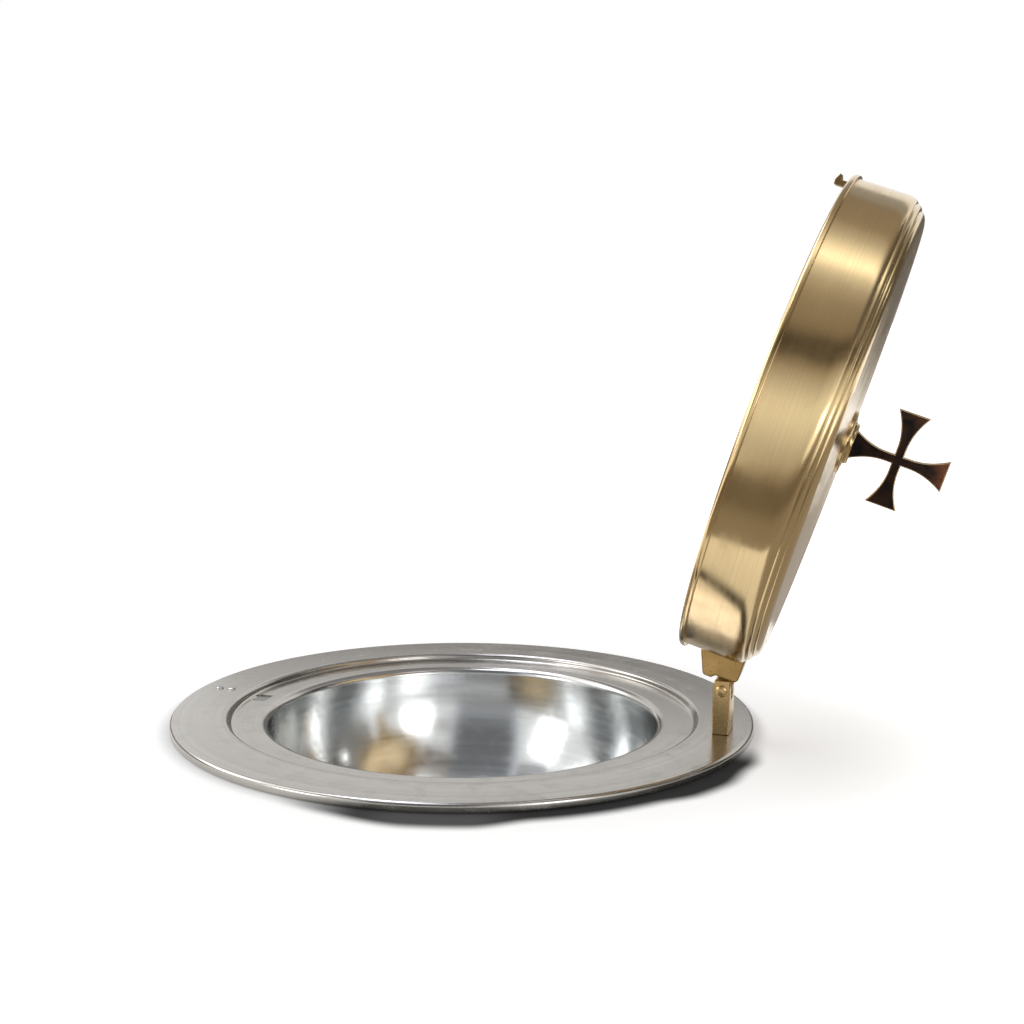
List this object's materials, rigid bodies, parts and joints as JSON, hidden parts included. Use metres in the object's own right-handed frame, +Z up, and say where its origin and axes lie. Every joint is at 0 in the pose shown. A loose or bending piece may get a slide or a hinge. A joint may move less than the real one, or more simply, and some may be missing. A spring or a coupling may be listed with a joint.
{
  "type": "sacrarium",
  "caption": "Round drop-in steel basin with a wide flange and a drain, and a hinged brass drum cover with a cross, shown open.",
  "frame": {"origin": "centre of the flange on the worktop's surface, which the underside of the rolled lip rests on", "axes": "+Z up along the bowl's axis, +X from the bowl's centre to the hinge, +Y completes the frame"},
  "size_m": [0.3912, 0.302, 0.5013],
  "materials": {
    "satin_steel": "satin",
    "polished_steel": "polished",
    "fixings": "plain",
    "spring_steel": "cold rolled",
    "rubber": "matte",
    "fibre": "matte",
    "nut_brass": "cast",
    "lid_brass": "satin",
    "ring_brass": "polished",
    "hinge_brass": "polished"
  },
  "bodies": {
    "root": {"basin": "satin_steel", "drain_flange": "polished_steel", "strainer": "polished_steel", "strainer_screw": "fixings", "drain_gasket": "rubber", "drain_washer": "fibre", "lock_nut": "nut_brass", "tail_washer": "rubber", "coupling_nut": "polished_steel", "tail_pipe": "polished_steel", "hinge_post": "hinge_brass", "post_screws": "fixings", "post_washers": "fixings", "hinge_pin": "hinge_brass", "pin_washer": "hinge_brass", "catch_spring": "spring_steel", "catch_screws": "fixings", "catch_nuts": "fixings"},
    "lid": {"lid_shell": "lid_brass", "lid_ring": "ring_brass", "hinge_lug": "hinge_brass", "lug_screws": "fixings", "lug_plate": "hinge_brass", "latch_tongue": "hinge_brass", "tongue_rivets": "hinge_brass", "rosette": "ring_brass", "cross": "ring_brass", "cross_stud": "fixings", "stud_washer": "fixings", "stud_nut": "fixings"}
  },
  "joints": [
    {"name": "lid_hinge", "type": "hinge", "parent": "root", "child": "lid", "pos_m": [0.136, 0, 0.0273], "axis": [0, -1, 0], "range_deg": [0, 108]}
  ]
}
